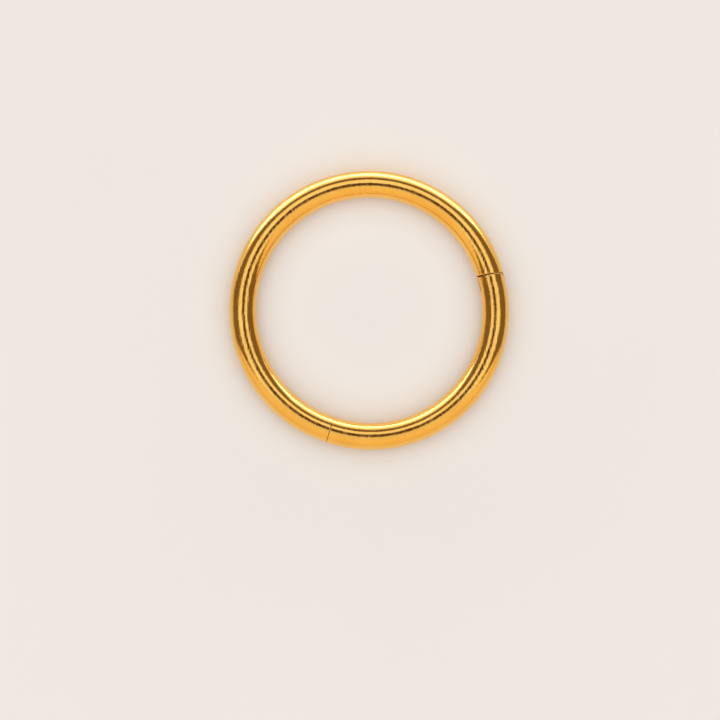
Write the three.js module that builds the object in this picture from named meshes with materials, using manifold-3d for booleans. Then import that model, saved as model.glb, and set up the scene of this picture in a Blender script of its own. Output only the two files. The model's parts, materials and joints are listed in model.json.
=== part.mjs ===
// A hinged segment nose ring of plain round gold wire, lying on its side.
// Units are millimetres. The ring's axis stands along +Z and its wire rests on z = 0.
// Angles are in degrees, anticlockwise from +X about the ring's centre.
// The short arc at the lower right swings outwards on a pin across the wire.

import * as THREE from "three";
import { mergeVertices } from "three/addons/utils/BufferGeometryUtils.js";
import Module from "manifold-3d";

// The wire and the round it is bent to
const wireDiameter = 1.2;
const insideDiameter = 10;
const wireRadius = wireDiameter / 2;
const centreRadius = (insideDiameter + wireDiameter) / 2;

// Where the two seams cross the middle of the wire, and how wide they stand
const hingeSeamAngle = 16.1;
const latchSeamAngle = 252.2;
const seamGap = 0.05;

// The hinge seam is cut askew: its outer end leans clockwise
const hingeSeamLean = 7;

// The segment is bent a little tighter than the ring, so it bows outwards
// between the seams and its end faces stand open by a hair on the inner side
const segmentBow = 0.07;
const segmentSplay = 1.8;

// The blades are the thin middle layers that slide between the outer layers
const bladeThickness = 0.34;
const bladeSlotWidth = 0.4;

// The hinge: a pin nearer the outer side of the wire, so that the segment can swing outwards
const pinDiameter = 0.26;
const pinOffset = 0.28;
const pinPressGap = 0.01;
const pinRunningGap = 0.02;
const pinToShoulder = 0.35;
const knuckleInset = 0.01;
const hingeSlotClearance = 0.04;

// The latch: a blade on the free end of the segment, in a slot that is open outwards
const latchBladeLength = 0.47;
const latchBladeInnerEdge = -0.3;
const latchBladeInnerRounding = 0.12;
const latchBladeOuterRounding = 0.3;
const latchSlotDepth = 0.55;
const latchSlotFloor = -0.34;

// Facets of the wire and of the small rounds
const wireSides = 24;
const ringSteps = 96;
const pinSides = 24;
const knuckleSteps = 12;
const sectorSteps = 32;

// Reach of the shapes that cut the wire, well past its surface
const cutReach = 1.5;
const cutHeight = 2 * wireDiameter;

const goldColour = 0xf0b24a;
const goldRoughness = 0.12;

const wasm = await Module();
wasm.setup();

const rad = THREE.MathUtils.degToRad;
const deg = THREE.MathUtils.radToDeg;

function direction(angle) {
  return new THREE.Vector2(Math.cos(rad(angle)), Math.sin(rad(angle)));
}

const ringCentre = new THREE.Vector2(0, 0);

// The segment's own circle meets the ring's circle at both seams
const segmentSpan = hingeSeamAngle + 360 - latchSeamAngle;
const segmentMiddle = latchSeamAngle + segmentSpan / 2;
const segmentShift = segmentBow / (1 - Math.cos(rad(segmentSpan / 2)));
const segmentRadius = centreRadius + segmentBow - segmentShift;
const segmentCentre = direction(segmentMiddle).multiplyScalar(segmentShift);

// A seam face is a line across the wire. It heads outwards at an angle,
// and its offset is counted anticlockwise from the ring's centre.
function faceAngle(face, radius) {
  return face.heading + deg(Math.asin(face.offset / radius));
}

// The pin sits clockwise of the hinge seam, where the distance to the shoulder face is set
const hingeHeading = hingeSeamAngle - hingeSeamLean;
const pinCentreRadius = centreRadius + pinOffset;
const hingeSeamOffset = centreRadius * Math.sin(rad(hingeSeamLean));
const pinSideOffset = hingeSeamOffset + seamGap / 2 - pinToShoulder;
const pinAngle = hingeHeading + deg(Math.asin(pinSideOffset / pinCentreRadius));
const pinCentre = direction(pinAngle).multiplyScalar(pinCentreRadius);
const knuckleRadius = wireRadius - pinOffset - knuckleInset;

const ringHingeFace = { heading: hingeHeading, offset: hingeSeamOffset + seamGap / 2 };
const ringLatchFace = { heading: latchSeamAngle, offset: -seamGap / 2 };
const segmentLatchFace = tiltedFace(latchSeamAngle, seamGap / 2, -segmentSplay);
const segmentHingeFace = tiltedFace(hingeHeading, hingeSeamOffset - seamGap / 2, segmentSplay);

// Turns a face about the point where it crosses the middle of the wire
function tiltedFace(heading, offset, tilt) {
  const crossing = heading + deg(Math.asin(offset / centreRadius));
  const tiltedHeading = heading + tilt;
  return {
    heading: tiltedHeading,
    offset: centreRadius * Math.sin(rad(crossing - tiltedHeading)),
  };
}

// A closed mesh becomes a solid, and a solid becomes a mesh again

function toSolid(geometry) {
  geometry.deleteAttribute("normal");
  geometry.deleteAttribute("uv");
  const merged = mergeVertices(geometry);
  const mesh = new wasm.Mesh({
    numProp: 3,
    vertProperties: Float32Array.from(merged.attributes.position.array),
    triVerts: Uint32Array.from(merged.index.array),
  });
  return new wasm.Manifold(mesh);
}

function toGeometry(solid) {
  const mesh = solid.getMesh();
  const geometry = new THREE.BufferGeometry();
  geometry.setAttribute("position", new THREE.BufferAttribute(mesh.vertProperties, 3));
  geometry.setIndex(new THREE.BufferAttribute(mesh.triVerts, 1));
  geometry.computeVertexNormals();
  return geometry;
}

// A whole round of wire, with the middle of the wire at z = 0
function wireRound(radius, centre) {
  const torus = new THREE.TorusGeometry(radius, wireRadius, wireSides, ringSteps);
  torus.translate(centre.x, centre.y, 0);
  return toSolid(torus);
}

// A plan shape drawn at a point of the wire: x outwards along the heading, y anticlockwise
function prismAt(point, heading, shape, height, curveSegments = knuckleSteps) {
  const geometry = new THREE.ExtrudeGeometry(shape, {
    depth: height,
    bevelEnabled: false,
    curveSegments,
  });
  geometry.translate(0, 0, -height / 2);
  geometry.rotateZ(rad(heading));
  geometry.translate(point.x, point.y, 0);
  return toSolid(geometry);
}

function pinRod(radius) {
  const rod = new THREE.CylinderGeometry(radius, radius, cutHeight, pinSides);
  rod.rotateX(Math.PI / 2);
  rod.translate(pinCentre.x, pinCentre.y, 0);
  return toSolid(rod);
}

// The block of space anticlockwise from one seam face to the next
function sector(startFace, endFace, turn = 0) {
  const inner = centreRadius - cutReach;
  const outer = centreRadius + cutReach;
  const start = (radius) => rad(faceAngle(startFace, radius));
  const end = (radius) => rad(faceAngle(endFace, radius) + turn);
  const shape = new THREE.Shape();
  shape.absarc(0, 0, outer, start(outer), end(outer), false);
  shape.absarc(0, 0, inner, end(inner), start(inner), true);
  shape.closePath();
  return prismAt(ringCentre, 0, shape, cutHeight, sectorSteps);
}

function rectangle(lowX, lowY, highX, highY) {
  const shape = new THREE.Shape();
  shape.moveTo(lowX, lowY);
  shape.lineTo(highX, lowY);
  shape.lineTo(highX, highY);
  shape.lineTo(lowX, highY);
  shape.closePath();
  return shape;
}

// The hinge, drawn about the pin

const pinOutward = pinAngle - hingeHeading;

// The blade of the ring's end runs past the pin, with its outer corner rounded about it
function hingeBlade() {
  const shape = new THREE.Shape();
  shape.moveTo(-cutReach, pinToShoulder + seamGap);
  shape.lineTo(-cutReach, -knuckleRadius);
  shape.lineTo(0, -knuckleRadius);
  shape.absarc(0, 0, knuckleRadius, -Math.PI / 2, rad(pinOutward), false);
  shape.lineTo(cutReach, knuckleRadius * Math.sin(rad(pinOutward)));
  shape.lineTo(cutReach, pinToShoulder + seamGap);
  shape.closePath();
  return prismAt(pinCentre, hingeHeading, shape, bladeThickness);
}

// The slot between the segment's cheeks stops clear of the blade at every angle
function hingeSlot() {
  const depth = wireRadius - pinOffset + hingeSlotClearance;
  const shape = rectangle(-cutReach, -depth, cutReach, cutReach);
  return prismAt(pinCentre, hingeHeading, shape, bladeSlotWidth);
}

// What is taken off the outer corner of the cheeks, so that they turn past the shoulder
function knuckleCorner() {
  const shape = new THREE.Shape();
  shape.absarc(0, 0, knuckleRadius, rad(pinOutward), Math.PI / 2, false);
  shape.lineTo(0, cutReach);
  shape.lineTo(cutReach, cutReach);
  shape.lineTo(cutReach, knuckleRadius * Math.sin(rad(pinOutward)));
  shape.closePath();
  return prismAt(pinCentre, hingeHeading, shape, cutHeight);
}

// The latch, drawn about the middle of the wire at the latch seam

const latchPoint = direction(latchSeamAngle).multiplyScalar(centreRadius);

function latchBlade() {
  const innerRound = latchBladeInnerRounding;
  const outerRound = latchBladeOuterRounding;
  const outerCentreX = wireRadius - outerRound - knuckleInset;
  const shape = new THREE.Shape();
  shape.moveTo(latchBladeInnerEdge, latchBladeLength);
  shape.lineTo(latchBladeInnerEdge, innerRound - latchBladeLength);
  shape.absarc(
    latchBladeInnerEdge + innerRound, innerRound - latchBladeLength,
    innerRound, Math.PI, 1.5 * Math.PI, false,
  );
  shape.absarc(
    outerCentreX, outerRound - latchBladeLength,
    outerRound, -Math.PI / 2, 0, false,
  );
  shape.lineTo(cutReach, outerRound - latchBladeLength);
  shape.lineTo(cutReach, latchBladeLength);
  shape.closePath();
  return prismAt(latchPoint, latchSeamAngle, shape, bladeThickness);
}

function latchSlot() {
  const shape = rectangle(latchSlotFloor, -latchSlotDepth, cutReach, latchSlotDepth);
  return prismAt(latchPoint, latchSeamAngle, shape, bladeSlotWidth);
}

// The three pieces

function ringBody() {
  const plan = sector(ringHingeFace, ringLatchFace)
    .add(hingeBlade())
    .subtract(pinRod(pinDiameter / 2 + pinRunningGap))
    .subtract(latchSlot());
  return wireRound(centreRadius, ringCentre).intersect(plan);
}

function hingedSegment() {
  const plan = sector(segmentLatchFace, segmentHingeFace, 360)
    .subtract(hingeSlot())
    .subtract(knuckleCorner())
    .subtract(pinRod(pinDiameter / 2 + pinPressGap))
    .add(latchBlade());
  return wireRound(segmentRadius, segmentCentre).intersect(plan);
}

function hingePin() {
  return pinRod(pinDiameter / 2).intersect(wireRound(segmentRadius, segmentCentre));
}

function piece(name, solid) {
  const material = new THREE.MeshStandardMaterial({
    color: goldColour,
    roughness: goldRoughness,
    metalness: 1,
  });
  const mesh = new THREE.Mesh(toGeometry(solid), material);
  mesh.name = name;
  return mesh;
}

// The bowed segment reaches a hair past the ring's own round at the right and at the bottom,
// so the middle of the whole thing lies that much beside the ring's centre
const boxCentreX = (segmentCentre.x + segmentRadius - centreRadius) / 2;
const boxCentreY = (segmentCentre.y + centreRadius - segmentRadius) / 2;

const noseRing = new THREE.Group();
noseRing.name = "nose_ring";
noseRing.position.set(-boxCentreX, -boxCentreY, wireRadius);
noseRing.add(piece("ring_body", ringBody()));
noseRing.add(piece("hinged_segment", hingedSegment()));
noseRing.add(piece("hinge_pin", hingePin()));

export default noseRing;
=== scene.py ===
"""A hinged segment nose ring of polished gold wire, lying on a pale floor under soft light."""

import json
from math import asin, atan2, cos, hypot, pi, radians, sin, sqrt

import bmesh
import bpy
from bpy.props import FloatProperty, FloatVectorProperty, PointerProperty
from mathutils import Matrix, Vector


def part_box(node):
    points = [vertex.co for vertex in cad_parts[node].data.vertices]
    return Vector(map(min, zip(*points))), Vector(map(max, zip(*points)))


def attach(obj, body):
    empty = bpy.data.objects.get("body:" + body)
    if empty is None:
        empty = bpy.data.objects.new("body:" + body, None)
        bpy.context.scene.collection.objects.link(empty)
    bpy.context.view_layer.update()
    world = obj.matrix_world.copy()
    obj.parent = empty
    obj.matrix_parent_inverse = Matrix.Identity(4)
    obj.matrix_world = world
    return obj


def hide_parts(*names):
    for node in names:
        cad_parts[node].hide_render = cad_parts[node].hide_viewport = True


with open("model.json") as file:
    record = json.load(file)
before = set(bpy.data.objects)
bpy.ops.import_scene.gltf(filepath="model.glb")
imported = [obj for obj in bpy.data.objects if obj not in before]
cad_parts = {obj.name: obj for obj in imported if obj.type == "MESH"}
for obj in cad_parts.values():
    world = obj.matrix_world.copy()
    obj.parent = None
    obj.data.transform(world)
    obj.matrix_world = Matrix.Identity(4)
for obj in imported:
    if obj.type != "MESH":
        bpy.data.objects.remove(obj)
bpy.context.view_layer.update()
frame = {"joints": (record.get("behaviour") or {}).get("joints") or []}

bl_info = {
    "name": "Hinged segment nose ring",
    "version": (1, 0, 0),
    "blender": (4, 5, 0),
    "location": "View3D > Sidebar > Nose Ring",
    "description": "Builds a hinged segment nose ring of round wire, with its studio",
    "category": "Object",
}

# What the frame gives: the thickness of the wire, the pin's place and the ring's corner
ring_low, ring_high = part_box("ring_body")
hinge = frame["joints"][0]
hinge_place = Vector(hinge["pos_m"])

# The pieces are shaped in millimetres and brought to metres at the end
MM = 1000.0
UP = Vector((0.0, 0.0, 1.0))

# The lights are zones of a dome. Reach is how far off they are, in metres. Top and bottom are
# degrees from the camera's direction, and right and left are degrees round it, at the top and
# at the bottom of the zone. The floor has a wash of light of its own, and only the gold shows
# the rest. Tilt turns a zone away from the camera's direction, towards the top of the picture.
LIGHT_ZONES = {
    "floor_wash": {
        "reach": 0.28, "top": 0.5, "bottom": 62, "right": (0, 0), "left": (360, 360),
        "colour": (1.0, 0.96, 0.92), "glow_at_top": 1.17, "glow_at_bottom": 1.17,
        "floor_only": True,
    },
    "overhead_softbox": {
        "reach": 0.36, "top": 0.5, "bottom": 38.5, "right": (0, 0), "left": (360, 360),
        "colour": (1.0, 0.98, 0.95), "glow_at_top": 1.05, "glow_at_bottom": 1.0,
    },
    "far_softbox": {
        "reach": 0.36, "top": 58, "bottom": 76, "right": (54, 48), "left": (130, 136),
        "colour": (1.0, 0.98, 0.96), "glow_at_top": 0.8, "glow_at_bottom": 1.3,
    },
    "far_window": {
        "reach": 0.36, "top": 76, "bottom": 92.5, "right": (48, 36), "left": (136, 150),
        "colour": (1.0, 0.98, 0.96), "glow_at_top": 1.4, "glow_at_bottom": 9.0,
    },
    "far_spill": {
        "reach": 0.38, "top": 66, "bottom": 92.5, "right": (46, 20), "left": (138, 168),
        "colour": (1.0, 0.96, 0.85), "glow_at_top": 0.4, "glow_at_bottom": 1.1,
    },
    "near_overhead_card": {
        "reach": 0.34, "top": 8, "bottom": 38.5, "right": (208, 208), "left": (338, 338),
        "colour": (1.0, 0.88, 0.68), "glow_at_top": 0.85, "glow_at_bottom": 0.92,
    },
    "near_card": {
        "reach": 0.34, "top": 38.5, "bottom": 87, "right": (206, 190), "left": (332, 349),
        "colour": (1.0, 0.79, 0.46), "glow_at_top": 0.98, "glow_at_bottom": 0.86,
    },
    "lens_hood": {
        "reach": 0.07, "top": 0.5, "bottom": 12.5, "right": (0, 0), "left": (360, 360),
        "colour": (1.0, 0.6, 0.4), "glow_at_top": 0.1, "glow_at_bottom": 0.1,
        "tilt": 2,
    },
}

# Fineness of the round shapes
WIRE_SIDES = 72
BEND_STEP = radians(1.25)
CORNER_STEPS = 24
PIN_SIDES = 48
RIM_STEPS = 3

# How far along the bend a square section turns into a leaning one, the short run of wire that
# ends at a seam, and half the length of wire that the pin's ends are taken from
LEAN_RUN = radians(8.0)
RIM_RUN = radians(0.5)
PIN_RUN = radians(8.0)

# The hinge's corners are rounded about the pin, from and to these angles past the hinge's heading
BLADE_CORNER_START = radians(-88)
CHEEK_CORNER_END = radians(100)

# Edges on the skin of the wire that are sharper than the first are polished round, and edges
# flatter than the second are shaded soft
SHARP_ANGLE = radians(40)
SOFT_ANGLE = radians(33)

# How near counts as on a cutting plane, and as on the skin of the wire, in mm
ON_PLANE = 1e-4
ON_SKIN = 0.008

# Clearance round the pin in the blade that turns on it and in the cheeks that hold it, in mm
RUNNING_GAP = 0.02
PRESS_GAP = 0.002

# Length of a cutting rod, and height of a cutting corner, in radii of the wire, and how many
# times its own radius the cutting corner reaches outwards
ROD_LENGTH = 4
CORNER_HEIGHT = 3
CORNER_REACH = 5

# The polish: sizes of the noises per metre, and heights of the bumps in metres
CLOUD_SCALE = 700
DULL_SCALE = 2500
WAVE_SCALE = 350
WAVE_HEIGHT = 4e-6
GRAIN_SCALE = 9000
GRAIN_HEIGHT = 3e-6
HAIR_STRETCH = (26000, 1400, 1400)
HAIR_TILT = (0.3, 0.2)
HAIR_TURNS = (0.4, 1.3, 2.5)
HAIR_HEIGHT = 1.4e-6
DULLEST = 2.2

# The sawn faces: the fine lines across them, per metre, and their height in metres
SAW_STRETCH = (2000, 2000, 40000)
SAW_HEIGHT = 2e-7
SAW_SMOOTHEST = 0.7
SAW_ROUGHEST = 1.3

# The floor, in metres, with the size of its faint clouds per metre and how dark they are
FLOOR_RADIUS = 2.0
FLOOR_SIDES = 64
FLOOR_CLOUD_SCALE = 60
FLOOR_CLOUD_SHADE = 0.97
FLOOR_ROUGHNESS = 0.3

# What the gold mirrors of the room beyond the lights, and what the camera sees of its wall
ROOM_COLOUR = (0.215, 0.148, 0.088)
WALL_COLOUR = (0.80, 0.78, 0.75)

# Steps of a light zone from its top to its bottom, and round it
ZONE_STEPS_DOWN = 12
ZONE_STEPS_ROUND = 48

# Where the camera looks and how near and far it sees, in metres, and its lens and film in mm
CAMERA_TARGET = Vector((-0.000411, -0.002221, 0.0006))
CLIP_START = 0.005
CLIP_END = 20
LENS = 150
FILM_WIDTH = 36


class NoseRingSizes(bpy.types.PropertyGroup):
    wire_diameter: FloatProperty(
        name="Wire diameter",
        description="Thickness of the round wire",
        default=ring_high.z - ring_low.z,
        unit="LENGTH",
    )
    inside_diameter: FloatProperty(
        name="Inside diameter",
        description="Width of the hole in the closed ring",
        default=0.010,
        unit="LENGTH",
    )
    hinge_seam_angle: FloatProperty(
        name="Hinge seam",
        description="Where the hinge seam crosses the wire, anticlockwise from +X",
        default=radians(16.1),
        subtype="ANGLE",
    )
    latch_seam_angle: FloatProperty(
        name="Latch seam",
        description="Where the latch seam crosses the wire, anticlockwise from +X",
        default=radians(252.2),
        subtype="ANGLE",
    )
    hinge_seam_lean: FloatProperty(
        name="Hinge seam lean",
        description="How far the outer end of the hinge seam leans clockwise",
        default=radians(7.0),
        subtype="ANGLE",
    )
    hinge_gap: FloatProperty(
        name="Hinge gap",
        description="Width of the seam at the hinge, in the middle of the wire",
        default=0.00005,
        unit="LENGTH",
    )
    latch_gap: FloatProperty(
        name="Latch gap",
        description="Width of the seam at the latch, in the middle of the wire",
        default=0.00002,
        unit="LENGTH",
    )
    segment_bow: FloatProperty(
        name="Segment bow",
        description="How far the middle of the segment stands outside the ring's circle",
        default=0.00007,
        unit="LENGTH",
    )
    hinge_splay: FloatProperty(
        name="Hinge splay",
        description="Turn of the cheeks' end that opens the hinge seam on the inner side",
        default=radians(2.2),
        subtype="ANGLE",
    )
    latch_splay: FloatProperty(
        name="Latch splay",
        description="Turn of the segment's free end that opens the latch seam on the inner side",
        default=radians(0.4),
        subtype="ANGLE",
    )
    blade_thickness: FloatProperty(
        name="Blade thickness",
        description="Thickness of the hinge blade and of the latch blade",
        default=0.00034,
        unit="LENGTH",
    )
    slot_width: FloatProperty(
        name="Slot width",
        description="Width of the slots that the blades lie in",
        default=0.0004,
        unit="LENGTH",
    )
    pin_diameter: FloatProperty(
        name="Pin diameter",
        description="Thickness of the hinge pin",
        default=0.00026,
        unit="LENGTH",
    )
    pin_to_cheek_end: FloatProperty(
        name="Pin to cheek end",
        description="Distance from the pin's axis to the end of the cheeks",
        default=0.0003,
        unit="LENGTH",
    )
    knuckle_radius: FloatProperty(
        name="Knuckle radius",
        description="Rounding of the hinge's outer corners about the pin",
        default=0.00031,
        unit="LENGTH",
    )
    hinge_slot_depth: FloatProperty(
        name="Hinge slot depth",
        description="Depth of the slot between the cheeks, behind the pin's axis",
        default=0.00036,
        unit="LENGTH",
    )
    latch_blade_length: FloatProperty(
        name="Latch blade length",
        description="How far the latch blade reaches past the middle of its seam",
        default=0.00047,
        unit="LENGTH",
    )
    latch_blade_inner_edge: FloatProperty(
        name="Latch blade inner edge",
        description="Where the latch blade begins, inside the middle of the wire",
        default=0.0003,
        unit="LENGTH",
    )
    latch_blade_inner_rounding: FloatProperty(
        name="Latch blade inner rounding",
        description="Radius of the inner corner at the latch blade's end",
        default=0.00012,
        unit="LENGTH",
    )
    latch_blade_outer_rounding: FloatProperty(
        name="Latch blade outer rounding",
        description="Radius of the outer corner at the latch blade's end",
        default=0.0003,
        unit="LENGTH",
    )
    latch_slot_depth: FloatProperty(
        name="Latch slot depth",
        description="Depth of the latch slot behind the middle of its seam",
        default=0.00055,
        unit="LENGTH",
    )
    latch_slot_floor: FloatProperty(
        name="Latch slot floor",
        description="Where the latch slot begins, inside the middle of the wire",
        default=0.00034,
        unit="LENGTH",
    )
    rim_rounding: FloatProperty(
        name="Rim rounding",
        description="How far polishing has rounded the edges of the seams and slots",
        default=0.000012,
        unit="LENGTH",
    )


class NoseRingFinish(bpy.types.PropertyGroup):
    gold: FloatVectorProperty(
        name="Gold",
        description="Colour of the polished gold",
        default=(1.0, 0.60, 0.15),
        size=3,
        subtype="COLOR",
    )
    deep_gold: FloatVectorProperty(
        name="Deep gold",
        description="Colour of the gold where the polish is a little duller",
        default=(0.96, 0.54, 0.12),
        size=3,
        subtype="COLOR",
    )
    # This default is darker than cut gold really is. That darkness is painted shade for the narrow
    # seams and slots, on top of the sawn finish
    cut_colour_with_painted_shade: FloatVectorProperty(
        name="Cut gold",
        description="Colour of the sawn faces inside the slots and seams",
        default=(0.40, 0.24, 0.09),
        size=3,
        subtype="COLOR",
    )
    gloss_roughness: FloatProperty(
        name="Roughness of the polish",
        description="Roughness of the polished surface between the scratches",
        default=0.07,
        subtype="FACTOR",
    )
    cut_roughness: FloatProperty(
        name="Roughness of the cuts",
        description="Roughness of the sawn faces inside the slots and seams",
        default=0.16,
        subtype="FACTOR",
    )


class NoseRingStudio(bpy.types.PropertyGroup):
    camera_elevation: FloatProperty(
        name="Camera elevation",
        description="Height of the camera above the floor, as an angle",
        default=radians(87.2),
        subtype="ANGLE",
    )
    camera_distance: FloatProperty(
        name="Camera distance",
        description="Distance from the camera to the point that it looks at",
        default=0.1332,
        unit="LENGTH",
    )
    floor_colour: FloatVectorProperty(
        name="Floor",
        description="Colour of the plain floor",
        default=(0.90, 0.885, 0.87),
        size=3,
        subtype="COLOR",
    )


def unit(angle):
    return Vector((cos(angle), sin(angle), 0.0))


class Bend:
    """The circle that a length of wire is bent to."""

    def __init__(self, centre, radius):
        self.centre = centre
        self.radius = radius

    def point(self, angle):
        return self.centre + self.radius * unit(angle)

    def angle_of(self, point):
        return atan2(point.y - self.centre.y, point.x - self.centre.x) % (2 * pi)

    def depth(self, point, wire):
        """How deep a point lies under the surface of the wire."""
        outwards = hypot(point.x - self.centre.x, point.y - self.centre.y) - self.radius
        return wire - hypot(outwards, point.z)


class Face:
    """A cut across the wire: its heading, and its offset anticlockwise from the ring's centre."""

    def __init__(self, heading, offset):
        self.heading = heading
        self.offset = offset

    def crossing(self, radius):
        return radius * unit(self.heading + asin(self.offset / radius))


class Plan:
    """The ring's plan in millimetres about its own centre, worked out from the sizes."""

    def __init__(self, sizes):
        self.wire = MM * sizes.wire_diameter / 2
        self.radius = MM * (sizes.inside_diameter + sizes.wire_diameter) / 2
        self.blade_half = MM * sizes.blade_thickness / 2
        self.slot_half = MM * sizes.slot_width / 2
        self.rounding = MM * sizes.rim_rounding
        self.pin_radius = MM * sizes.pin_diameter / 2
        self.knuckle = MM * sizes.knuckle_radius
        outer = (self.radius + self.wire) / MM
        self.centre = Vector(
            (ring_low.x + outer, ring_high.y - outer, (ring_low.z + ring_high.z) / 2)
        )

        span = sizes.hinge_seam_angle + 2 * pi - sizes.latch_seam_angle
        bow = MM * sizes.segment_bow
        shift = bow / (1 - cos(span / 2))
        self.ring = Bend(Vector((0, 0, 0)), self.radius)
        self.segment = Bend(
            shift * unit(sizes.latch_seam_angle + span / 2), self.radius + bow - shift
        )

        heading = sizes.hinge_seam_angle - sizes.hinge_seam_lean
        self.pin = MM * (hinge_place - self.centre)
        self.pin_angle = atan2(self.pin.y, self.pin.x)
        pin_side = self.pin.length * sin(self.pin_angle - heading)
        cheek_end = pin_side + MM * sizes.pin_to_cheek_end
        self.hinge_heading = heading
        self.cheek_end = self.turned(Face(heading, cheek_end), sizes.hinge_splay)
        self.shoulder = Face(heading, cheek_end + MM * sizes.hinge_gap)
        self.hinge_slot = Face(heading, pin_side - MM * sizes.hinge_slot_depth)
        self.hinge_blade_end = Face(heading, pin_side - self.knuckle)

        half_gap = MM * sizes.latch_gap / 2
        latch = sizes.latch_seam_angle
        self.latch_heading = latch
        self.latch_point = self.radius * unit(latch)
        self.latch_face = Face(latch, -half_gap)
        self.latch_shoulder = self.turned(Face(latch, half_gap), -sizes.latch_splay)
        self.latch_slot = Face(latch, -MM * sizes.latch_slot_depth)
        self.latch_blade_end = Face(latch, -MM * sizes.latch_blade_length)
        outwards = unit(latch)
        onwards = unit(latch + pi / 2)
        self.latch_slot_floor = self.latch_point - MM * sizes.latch_slot_floor * outwards
        self.latch_blade_edge = self.latch_point - MM * sizes.latch_blade_inner_edge * outwards
        blade_tip = -MM * sizes.latch_blade_length * onwards
        self.inner_rounding = MM * sizes.latch_blade_inner_rounding
        self.inner_pivot = (
            self.latch_blade_edge + blade_tip + self.inner_rounding * (outwards + onwards)
        )
        self.outer_rounding = MM * sizes.latch_blade_outer_rounding
        self.outer_pivot = (
            self.latch_point
            + blade_tip
            + (self.wire - self.outer_rounding) * outwards
            + self.outer_rounding * onwards
        )

    def turned(self, face, turn):
        """The face turned about the point where it crosses the middle of the wire."""
        crossing = face.heading + asin(face.offset / self.radius)
        heading = face.heading + turn
        return Face(heading, self.radius * sin(crossing - heading))

    def station(self, bend, face):
        """Where a cut crosses a bend: the angle there, and the cut's lean against a square cut."""
        angle = bend.angle_of(face.crossing(self.radius))
        lean = (face.heading - angle + pi) % (2 * pi) - pi
        return angle, lean


def round_section(bm, plan, bend, angle, lean):
    """A round of points across the wire, with points where the blades and slots will cross it."""
    made = bmesh.ops.create_circle(bm, cap_ends=False, radius=plan.wire, segments=WIRE_SIDES)
    free = list(made["verts"])
    for height in (plan.blade_half, plan.slot_half):
        for up in (height, -height):
            for side in (1, -1):
                target = Vector((side * sqrt(plan.wire**2 - up**2), up, 0))
                nearest = min(free, key=lambda v: (v.co - target).length)
                free.remove(nearest)
                bmesh.ops.translate(bm, verts=[nearest], vec=target - nearest.co)
    place = (
        Matrix.Translation(bend.point(angle))
        @ Matrix.Rotation(angle + lean, 4, "Z")
        @ Matrix.Rotation(pi / 2, 4, "X")
    )
    bmesh.ops.transform(bm, matrix=place, verts=made["verts"])
    edges = {e for v in made["verts"] for e in v.link_edges}
    return list(made["verts"]) + list(edges)


def faces_of(geom):
    return [g for g in geom if isinstance(g, bmesh.types.BMFace)]


def edges_of(geom):
    return [g for g in geom if isinstance(g, bmesh.types.BMEdge)]


def verts_of(geom):
    return [g for g in geom if isinstance(g, bmesh.types.BMVert)]


def whole(geom):
    """Some geometry with the edges and corners of its faces, so that a sweep leaves no wall."""
    faces = faces_of(geom)
    edges = edges_of(geom) + [e for f in faces for e in f.edges]
    verts = verts_of(geom) + [v for f in faces for v in f.verts]
    return faces + list(dict.fromkeys(edges)) + list(dict.fromkeys(verts))


def sweep(bm, geom, bend, start, end, lean_change=0.0):
    """Carries a section or some faces round the bend, and leans them by that much on the way."""
    geom = whole(geom)
    steps = max(1, round(abs(end - start) / BEND_STEP))
    rounds = steps if lean_change else 1
    for i in range(rounds):
        made = bmesh.ops.spin(
            bm,
            geom=geom,
            cent=bend.centre,
            axis=UP,
            angle=(end - start) / rounds,
            steps=steps // rounds,
            use_merge=False,
        )
        geom = made["geom_last"]
        if lean_change:
            middle = bend.point(start + (end - start) * (i + 1) / rounds)
            bmesh.ops.rotate(
                bm,
                cent=middle,
                matrix=Matrix.Rotation(lean_change / rounds, 3, "Z"),
                verts=verts_of(geom),
            )
    return geom


def close_end(bm, edges):
    return bmesh.ops.contextual_create(bm, geom=edges)["faces"]


def score(bm, faces, point, normal):
    """Splits flat faces along a plane and returns them all."""
    cut = bmesh.ops.bisect_plane(
        bm, geom=whole(faces), dist=ON_PLANE, plane_co=point, plane_no=normal
    )
    return faces_of(cut["geom"])


def part_layers(bm, plan, faces, half, edge=None):
    """Parts a flat end into the layer in the middle, or only its outer part, and the rest."""
    for height in (half, -half):
        faces = score(bm, faces, Vector((0, 0, height)), UP)
    middle = [f for f in faces if abs(f.calc_center_median().z) < half]
    rest = [f for f in faces if f not in middle]
    if edge:
        parts = score(bm, middle, edge, unit(plan.latch_heading))
        outer = max(parts, key=lambda f: f.calc_center_median().length)
        middle = [outer]
        rest += [f for f in parts if f != outer]
    return middle, rest


def bent_wire(name, plan, bend, ends, blade_edge=None, slot_floor=None):
    """A length of round wire with a blade at its first end and a slot in its last end."""
    (start, start_lean), (slot, slot_lean), (end, end_lean), (blade, blade_lean) = [
        plan.station(bend, face) for face in ends
    ]
    if slot < start:
        slot += 2 * pi
        end += 2 * pi
    bm = bmesh.new()
    first = round_section(bm, plan, bend, start, start_lean)
    last = sweep(bm, first, bend, start, start + RIM_RUN)
    last = sweep(bm, last, bend, start + RIM_RUN, start + LEAN_RUN, -start_lean)
    last = sweep(bm, last, bend, start + LEAN_RUN, slot - LEAN_RUN)
    last = sweep(bm, last, bend, slot - LEAN_RUN, slot, slot_lean)

    cap = close_end(bm, edges_of(last))
    cheeks = part_layers(bm, plan, cap, plan.slot_half, slot_floor)[1]
    last = sweep(bm, cheeks, bend, slot, end - RIM_RUN, end_lean - slot_lean)
    sweep(bm, last, bend, end - RIM_RUN, end)

    cap = close_end(bm, edges_of(first))
    blade_root = part_layers(bm, plan, cap, plan.blade_half, blade_edge)[0]
    sweep(bm, blade_root, bend, start, blade, blade_lean - start_lean)
    round_edges(bm, plan, bend)
    return object_from(bm, name)


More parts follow.
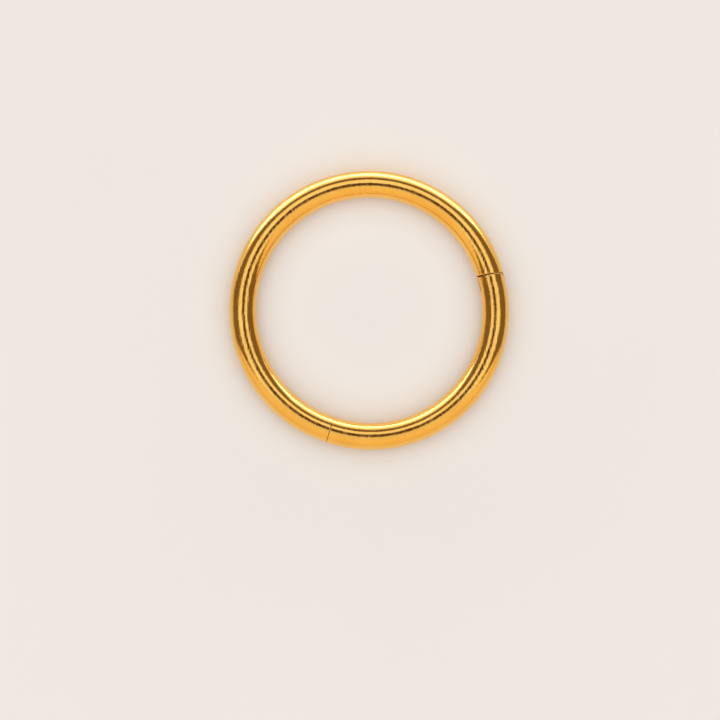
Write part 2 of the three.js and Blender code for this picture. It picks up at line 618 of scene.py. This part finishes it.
def round_edges(bm, plan, bend):
    """Rounds every sharp edge that lies on the surface of the wire, as polishing does."""
    sharp = [
        e
        for e in bm.edges
        if e.is_manifold
        and e.calc_face_angle_signed() > SHARP_ANGLE
        and all(abs(bend.depth(v.co, plan.wire)) < ON_SKIN for v in e.verts)
    ]
    bmesh.ops.bevel(
        bm,
        geom=sharp,
        offset=plan.rounding,
        offset_type="OFFSET",
        segments=RIM_STEPS,
        profile=0.5,
        affect="EDGES",
        clamp_overlap=True,
        material=-1,
    )


def object_from(bm, name):
    bmesh.ops.recalc_face_normals(bm, faces=bm.faces[:])
    mesh = bpy.data.meshes.new(name)
    bm.to_mesh(mesh)
    bm.free()
    obj = bpy.data.objects.new(name, mesh)
    bpy.context.scene.collection.objects.link(obj)
    return obj


def carve(obj, cutter, operation="DIFFERENCE"):
    """Cuts a piece with a second shape, which is then thrown away."""
    modifier = obj.modifiers.new("carve", "BOOLEAN")
    modifier.operation = operation
    modifier.solver = "EXACT"
    modifier.object = cutter
    bpy.context.view_layer.update()
    shaped = obj.evaluated_get(bpy.context.evaluated_depsgraph_get())
    carved = bpy.data.meshes.new_from_object(shaped)
    if not carved.polygons:
        raise RuntimeError(f"nothing is left of {obj.name} after a cut")
    uncut = obj.data
    obj.modifiers.clear()
    obj.data = carved
    carved.name = uncut.name
    bpy.data.meshes.remove(uncut)
    leftover = cutter.data
    bpy.data.objects.remove(cutter)
    bpy.data.meshes.remove(leftover)


def rod(plan, radius, name="rod"):
    """A rod that stands on the pin's axis and reaches well past the wire."""
    bm = bmesh.new()
    bmesh.ops.create_cone(
        bm,
        cap_ends=True,
        segments=PIN_SIDES,
        radius1=radius,
        radius2=radius,
        depth=ROD_LENGTH * plan.wire,
        matrix=Matrix.Translation(plan.pin),
    )
    return object_from(bm, name)


def corner(plan, pivot, radius, start, end):
    """All that lies outside a round corner, between two angles about its pivot."""
    height = CORNER_HEIGHT * plan.wire
    bm = bmesh.new()
    seed = bmesh.ops.create_vert(bm, co=pivot + radius * unit(start) - height / 2 * UP)
    bmesh.ops.spin(
        bm, geom=seed["vert"], cent=pivot, axis=UP, angle=end - start, steps=CORNER_STEPS
    )
    outer = bmesh.ops.extrude_edge_only(bm, edges=bm.edges[:])
    bmesh.ops.scale(
        bm,
        vec=Vector((CORNER_REACH, CORNER_REACH, 1)),
        space=Matrix.Translation(-pivot),
        verts=verts_of(outer["geom"]),
    )
    raised = bmesh.ops.extrude_face_region(bm, geom=bm.faces[:])
    bmesh.ops.translate(bm, vec=height * UP, verts=verts_of(raised["geom"]))
    return object_from(bm, "corner")


def finish_piece(obj, plan, bend, body, node):
    """Gives a piece its materials and soft shading, and puts it in its place in metres."""
    bm = bmesh.new()
    bm.from_mesh(obj.data)
    bmesh.ops.remove_doubles(bm, verts=bm.verts[:], dist=ON_PLANE / 10)
    for face in bm.faces:
        # Faces inside the wire, in the seams and slots, take the sawn gold, whose dark colour is
        # painted shade
        inside = bend.depth(face.calc_center_median(), plan.wire) > plan.rounding
        face.material_index = 1 if inside else 0
        face.smooth = True
    for edge in bm.edges:
        mixed = len({f.material_index for f in edge.link_faces}) > 1
        edge.smooth = not mixed and edge.calc_face_angle(0) < SOFT_ANGLE
    bmesh.ops.scale(bm, vec=Vector((1, 1, 1)) / MM, verts=bm.verts[:])
    bmesh.ops.translate(bm, vec=plan.centre, verts=bm.verts[:])
    obj.data.materials.clear()
    for material in ("polished_gold", "sawn_gold_painted_shade"):
        obj.data.materials.append(bpy.data.materials[material])
    bm.to_mesh(obj.data)
    bm.free()
    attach(obj, body)
    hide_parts(node)


def build_ring_body(plan):
    """The long arc, with a blade at the hinge and a slot for the latch."""
    ends = (plan.shoulder, plan.latch_slot, plan.latch_face, plan.hinge_blade_end)
    obj = bent_wire("long_arc", plan, plan.ring, ends, slot_floor=plan.latch_slot_floor)
    blade_tip = plan.hinge_heading + BLADE_CORNER_START
    carve(obj, corner(plan, plan.pin, plan.knuckle, blade_tip, plan.pin_angle))
    carve(obj, rod(plan, plan.pin_radius + RUNNING_GAP))
    return obj


def build_segment(plan):
    """The short arc, with cheeks for the hinge and a blade for the latch."""
    ends = (plan.latch_shoulder, plan.hinge_slot, plan.cheek_end, plan.latch_blade_end)
    obj = bent_wire("swinging_arc", plan, plan.segment, ends, blade_edge=plan.latch_blade_edge)
    past_end = plan.hinge_heading + CHEEK_CORNER_END
    carve(obj, corner(plan, plan.pin, plan.knuckle, plan.pin_angle, past_end))
    tip = plan.latch_heading - pi / 2
    carve(obj, corner(plan, plan.outer_pivot, plan.outer_rounding, tip, tip + pi / 2))
    carve(obj, corner(plan, plan.inner_pivot, plan.inner_rounding, tip - pi / 2, tip))
    carve(obj, rod(plan, plan.pin_radius + PRESS_GAP))
    return obj


def build_pin(plan):
    """The pin across the hinge, with its ends flush with the wire."""
    bend = plan.segment
    middle = bend.angle_of(plan.pin)
    bm = bmesh.new()
    first = round_section(bm, plan, bend, middle - PIN_RUN, 0)
    last = sweep(bm, first, bend, middle - PIN_RUN, middle + PIN_RUN)
    close_end(bm, edges_of(first))
    close_end(bm, edges_of(last))
    wire = object_from(bm, "wire_at_pin")
    obj = rod(plan, plan.pin_radius, "flush_pin")
    carve(obj, wire, "INTERSECT")
    return obj


def new_material(name):
    material = bpy.data.materials.new(name)
    material.use_nodes = True
    nodes = material.node_tree.nodes
    return material, nodes, material.node_tree.links, nodes["Principled BSDF"]


def make_polished_gold(finish):
    """Mirror polish with slight waves, a faint grain and fine hairline scratches."""
    material, nodes, links, shader = new_material("polished_gold")
    shader.inputs["Metallic"].default_value = 1.0
    place = nodes.new("ShaderNodeTexCoord")

    def noise(scale, detail=2.0, stretch=None, turn=(0, 0, 0)):
        node = nodes.new("ShaderNodeTexNoise")
        node.inputs["Scale"].default_value = scale
        node.inputs["Detail"].default_value = detail
        if stretch:
            mapping = nodes.new("ShaderNodeMapping")
            mapping.inputs["Scale"].default_value = stretch
            mapping.inputs["Rotation"].default_value = turn
            links.new(place.outputs["Object"], mapping.inputs["Vector"])
            links.new(mapping.outputs["Vector"], node.inputs["Vector"])
        else:
            links.new(place.outputs["Object"], node.inputs["Vector"])
        return node.outputs["Fac"]

    def ramp(value, low, high, low_value, high_value):
        node = nodes.new("ShaderNodeMapRange")
        node.inputs["From Min"].default_value = low
        node.inputs["From Max"].default_value = high
        node.inputs["To Min"].default_value = low_value
        node.inputs["To Max"].default_value = high_value
        links.new(value, node.inputs["Value"])
        return node.outputs["Result"]

    def bump(height, distance, below=None):
        node = nodes.new("ShaderNodeBump")
        node.inputs["Strength"].default_value = 1.0
        node.inputs["Distance"].default_value = distance
        links.new(height, node.inputs["Height"])
        if below:
            links.new(below, node.inputs["Normal"])
        return node.outputs["Normal"]

    clouds = noise(CLOUD_SCALE, 3)
    mix = nodes.new("ShaderNodeMix")
    mix.data_type = "RGBA"
    mix.inputs["A"].default_value = (*finish.gold, 1)
    mix.inputs["B"].default_value = (*finish.deep_gold, 1)
    links.new(ramp(clouds, 0.35, 0.75, 0.0, 1.0), mix.inputs["Factor"])
    links.new(mix.outputs["Result"], shader.inputs["Base Color"])

    gloss = finish.gloss_roughness
    dull = ramp(noise(DULL_SCALE, 4), 0.3, 0.8, gloss, DULLEST * gloss)
    links.new(dull, shader.inputs["Roughness"])

    relief = bump(noise(WAVE_SCALE, 1), WAVE_HEIGHT)
    relief = bump(noise(GRAIN_SCALE, 2), GRAIN_HEIGHT, relief)
    for turn in HAIR_TURNS:
        lines = noise(1, 2, stretch=HAIR_STRETCH, turn=(*HAIR_TILT, turn))
        relief = bump(ramp(lines, 0.55, 0.8, 0.0, 1.0), HAIR_HEIGHT, relief)
    links.new(relief, shader.inputs["Normal"])
    return material


def make_cut_faces_and_seam_shade(finish):
    """The cut faces inside the slots and seams: sawn lines and roughness, with a dark colour that
    is painted shade of the narrow seams.
    """
    material, nodes, links, shader = new_material("sawn_gold_painted_shade")
    shader.inputs["Metallic"].default_value = 1.0
    # The dark colour stands in for the shade in the narrow seams and slots: painted shade
    shader.inputs["Base Color"].default_value = (*finish.cut_colour_with_painted_shade, 1)
    place = nodes.new("ShaderNodeTexCoord")
    mapping = nodes.new("ShaderNodeMapping")
    mapping.inputs["Scale"].default_value = SAW_STRETCH
    links.new(place.outputs["Object"], mapping.inputs["Vector"])
    lines = nodes.new("ShaderNodeTexNoise")
    lines.inputs["Scale"].default_value = 1.0
    links.new(mapping.outputs["Vector"], lines.inputs["Vector"])
    rough = nodes.new("ShaderNodeMapRange")
    rough.inputs["To Min"].default_value = SAW_SMOOTHEST * finish.cut_roughness
    rough.inputs["To Max"].default_value = SAW_ROUGHEST * finish.cut_roughness
    links.new(lines.outputs["Fac"], rough.inputs["Value"])
    links.new(rough.outputs["Result"], shader.inputs["Roughness"])
    bump = nodes.new("ShaderNodeBump")
    bump.inputs["Distance"].default_value = SAW_HEIGHT
    links.new(lines.outputs["Fac"], bump.inputs["Height"])
    links.new(bump.outputs["Normal"], shader.inputs["Normal"])
    return material


def direction(polar, azimuth):
    """A direction by its angle from the pole, and round it, anticlockwise from +X."""
    return Vector((sin(polar) * cos(azimuth), sin(polar) * sin(azimuth), cos(polar)))


def light_material(name, pole, zone):
    """An even glow that changes from the upper edge of a light to its lower edge."""
    material = bpy.data.materials.new(name)
    material.use_nodes = True
    tree = material.node_tree
    tree.nodes.clear()
    place = tree.nodes.new("ShaderNodeTexCoord")
    height = tree.nodes.new("ShaderNodeVectorMath")
    height.operation = "DOT_PRODUCT"
    height.inputs[1].default_value = pole / zone["reach"]
    fade = tree.nodes.new("ShaderNodeMapRange")
    fade.inputs["From Min"].default_value = cos(radians(zone["top"]))
    fade.inputs["From Max"].default_value = cos(radians(zone["bottom"]))
    fade.inputs["To Min"].default_value = zone["glow_at_top"]
    fade.inputs["To Max"].default_value = zone["glow_at_bottom"]
    light = tree.nodes.new("ShaderNodeEmission")
    light.inputs["Color"].default_value = (*zone["colour"], 1)
    out = tree.nodes.new("ShaderNodeOutputMaterial")
    tree.links.new(place.outputs["Object"], height.inputs[0])
    tree.links.new(height.outputs["Value"], fade.inputs["Value"])
    tree.links.new(fade.outputs["Result"], light.inputs["Strength"])
    tree.links.new(light.outputs["Emission"], out.inputs["Surface"])
    return material


def light_zone(name, pole, zone):
    """A part of a dome of light round the ring, between two angles from the pole."""
    top = radians(zone["top"])
    bottom = radians(zone["bottom"])
    bm = bmesh.new()
    start = min(zone["right"])
    spread = max(zone["left"]) - start
    seed = bmesh.ops.create_vert(bm, co=zone["reach"] * direction(top, radians(start)))
    across = direction(pi / 2, radians(start + 90))
    bmesh.ops.spin(
        bm,
        geom=seed["vert"],
        cent=(0, 0, 0),
        axis=across,
        angle=bottom - top,
        steps=ZONE_STEPS_DOWN,
    )
    bmesh.ops.spin(
        bm,
        geom=bm.verts[:] + bm.edges[:],
        cent=(0, 0, 0),
        axis=UP,
        angle=radians(spread),
        steps=ZONE_STEPS_ROUND,
        use_merge=spread == 360,
    )
    if spread < 180:
        for side in ("right", "left"):
            high, low = zone[side]
            edge = direction(top, radians(high)).cross(direction(bottom, radians(low)))
            bmesh.ops.bisect_plane(
                bm,
                geom=whole(bm.faces),
                plane_co=(0, 0, 0),
                plane_no=edge,
                clear_inner=side == "right",
                clear_outer=side == "left",
            )
    turn = UP.rotation_difference(pole).to_matrix()
    bmesh.ops.rotate(bm, cent=(0, 0, 0), matrix=turn, verts=bm.verts[:])
    obj = object_from(bm, name)
    obj.data.materials.append(light_material(name, pole, zone))
    floor_only = zone.get("floor_only", False)
    obj.visible_camera = False
    obj.visible_diffuse = floor_only
    obj.visible_glossy = not floor_only
    obj.visible_shadow = not floor_only


def make_floor(studio):
    """A wide plain floor with very faint clouds."""
    bm = bmesh.new()
    bmesh.ops.create_circle(bm, cap_ends=True, radius=FLOOR_RADIUS, segments=FLOOR_SIDES)
    obj = object_from(bm, "floor")
    material, nodes, links, shader = new_material("pale_floor")
    place = nodes.new("ShaderNodeTexCoord")
    clouds = nodes.new("ShaderNodeTexNoise")
    clouds.inputs["Scale"].default_value = FLOOR_CLOUD_SCALE
    links.new(place.outputs["Object"], clouds.inputs["Vector"])
    mix = nodes.new("ShaderNodeMix")
    mix.data_type = "RGBA"
    mix.inputs["A"].default_value = (*studio.floor_colour, 1)
    shade = [FLOOR_CLOUD_SHADE * c for c in studio.floor_colour]
    mix.inputs["B"].default_value = (*shade, 1)
    links.new(clouds.outputs["Fac"], mix.inputs["Factor"])
    links.new(mix.outputs["Result"], shader.inputs["Base Color"])
    shader.inputs["Roughness"].default_value = FLOOR_ROUGHNESS
    obj.data.materials.append(material)


def make_world():
    """A dim brown room for the gold to mirror, with a pale wall for the camera."""
    world = bpy.data.worlds.new("studio_room")
    world.use_nodes = True
    tree = world.node_tree
    tree.nodes.clear()
    room = tree.nodes.new("ShaderNodeBackground")
    room.inputs["Color"].default_value = (*ROOM_COLOUR, 1)
    wall = tree.nodes.new("ShaderNodeBackground")
    wall.inputs["Color"].default_value = (*WALL_COLOUR, 1)
    path = tree.nodes.new("ShaderNodeLightPath")
    mix = tree.nodes.new("ShaderNodeMixShader")
    out = tree.nodes.new("ShaderNodeOutputWorld")
    tree.links.new(path.outputs["Is Camera Ray"], mix.inputs["Fac"])
    tree.links.new(room.outputs["Background"], mix.inputs[1])
    tree.links.new(wall.outputs["Background"], mix.inputs[2])
    tree.links.new(mix.outputs["Shader"], out.inputs["Surface"])
    bpy.context.scene.world = world


def make_camera(studio):
    """Puts up the camera and gives back the direction from the ring towards it."""
    towards = Vector((0, -cos(studio.camera_elevation), sin(studio.camera_elevation)))
    data = bpy.data.cameras.new("camera")
    data.lens = LENS
    data.sensor_width = FILM_WIDTH
    data.clip_start = CLIP_START
    data.clip_end = CLIP_END
    camera = bpy.data.objects.new("camera", data)
    camera.location = CAMERA_TARGET + studio.camera_distance * towards
    camera.rotation_euler = towards.to_track_quat("Z", "Y").to_euler()
    bpy.context.scene.collection.objects.link(camera)
    bpy.context.scene.camera = camera
    return towards


class NOSERING_OT_ring_body(bpy.types.Operator):
    """Builds the long arc of wire, with its hinge blade and latch slot"""

    bl_idname = "nose_ring.ring_body"
    bl_label = "Ring Body"

    def execute(self, context):
        plan = Plan(context.scene.nose_ring_sizes)
        finish_piece(build_ring_body(plan), plan, plan.ring, "ring", "ring_body")
        return {"FINISHED"}


class NOSERING_OT_segment(bpy.types.Operator):
    """Builds the short arc that swings open, with its cheeks and latch blade"""

    bl_idname = "nose_ring.segment"
    bl_label = "Hinged Segment"

    def execute(self, context):
        plan = Plan(context.scene.nose_ring_sizes)
        finish_piece(build_segment(plan), plan, plan.segment, "segment", "hinged_segment")
        return {"FINISHED"}


class NOSERING_OT_pin(bpy.types.Operator):
    """Builds the hinge pin, ground flush with the wire"""

    bl_idname = "nose_ring.pin"
    bl_label = "Hinge Pin"

    def execute(self, context):
        plan = Plan(context.scene.nose_ring_sizes)
        finish_piece(build_pin(plan), plan, plan.segment, "segment", "hinge_pin")
        return {"FINISHED"}


class NOSERING_OT_gold(bpy.types.Operator):
    """Makes the two finishes of the gold"""

    bl_idname = "nose_ring.gold"
    bl_label = "Gold Finishes"

    def execute(self, context):
        finish = context.scene.nose_ring_finish
        make_polished_gold(finish)
        make_cut_faces_and_seam_shade(finish)
        return {"FINISHED"}


class NOSERING_OT_stage(bpy.types.Operator):
    """Builds the floor, the soft lights and the camera"""

    bl_idname = "nose_ring.stage"
    bl_label = "Stage"

    def execute(self, context):
        studio = context.scene.nose_ring_studio
        make_floor(studio)
        make_world()
        pole = make_camera(studio)
        for name, zone in LIGHT_ZONES.items():
            tilt = Matrix.Rotation(-radians(zone.get("tilt", 0)), 3, "X")
            light_zone(name, tilt @ pole, zone)
        context.scene.view_settings.view_transform = "Standard"
        return {"FINISHED"}


class NOSERING_PT_panel(bpy.types.Panel):
    bl_label = "Nose Ring"
    bl_idname = "NOSERING_PT_panel"
    bl_space_type = "VIEW_3D"
    bl_region_type = "UI"
    bl_category = "Nose Ring"

    def draw(self, context):
        layout = self.layout
        for operator in OPERATORS:
            layout.operator(operator.bl_idname)
        for group in ("nose_ring_sizes", "nose_ring_finish", "nose_ring_studio"):
            settings = getattr(context.scene, group)
            for name in settings.__annotations__:
                layout.prop(settings, name)


OPERATORS = (
    NOSERING_OT_gold,
    NOSERING_OT_ring_body,
    NOSERING_OT_segment,
    NOSERING_OT_pin,
    NOSERING_OT_stage,
)
GROUPS = (NoseRingSizes, NoseRingFinish, NoseRingStudio)
CLASSES = GROUPS + OPERATORS + (NOSERING_PT_panel,)


def register():
    for cls in CLASSES:
        bpy.utils.register_class(cls)
    bpy.types.Scene.nose_ring_sizes = PointerProperty(type=NoseRingSizes)
    bpy.types.Scene.nose_ring_finish = PointerProperty(type=NoseRingFinish)
    bpy.types.Scene.nose_ring_studio = PointerProperty(type=NoseRingStudio)


def unregister():
    del bpy.types.Scene.nose_ring_studio
    del bpy.types.Scene.nose_ring_finish
    del bpy.types.Scene.nose_ring_sizes
    for cls in reversed(CLASSES):
        bpy.utils.unregister_class(cls)


def main():
    register()
    bpy.ops.nose_ring.gold()
    bpy.ops.nose_ring.ring_body()
    bpy.ops.nose_ring.segment()
    bpy.ops.nose_ring.pin()
    bpy.ops.nose_ring.stage()


if __name__ == "__main__":
    main()
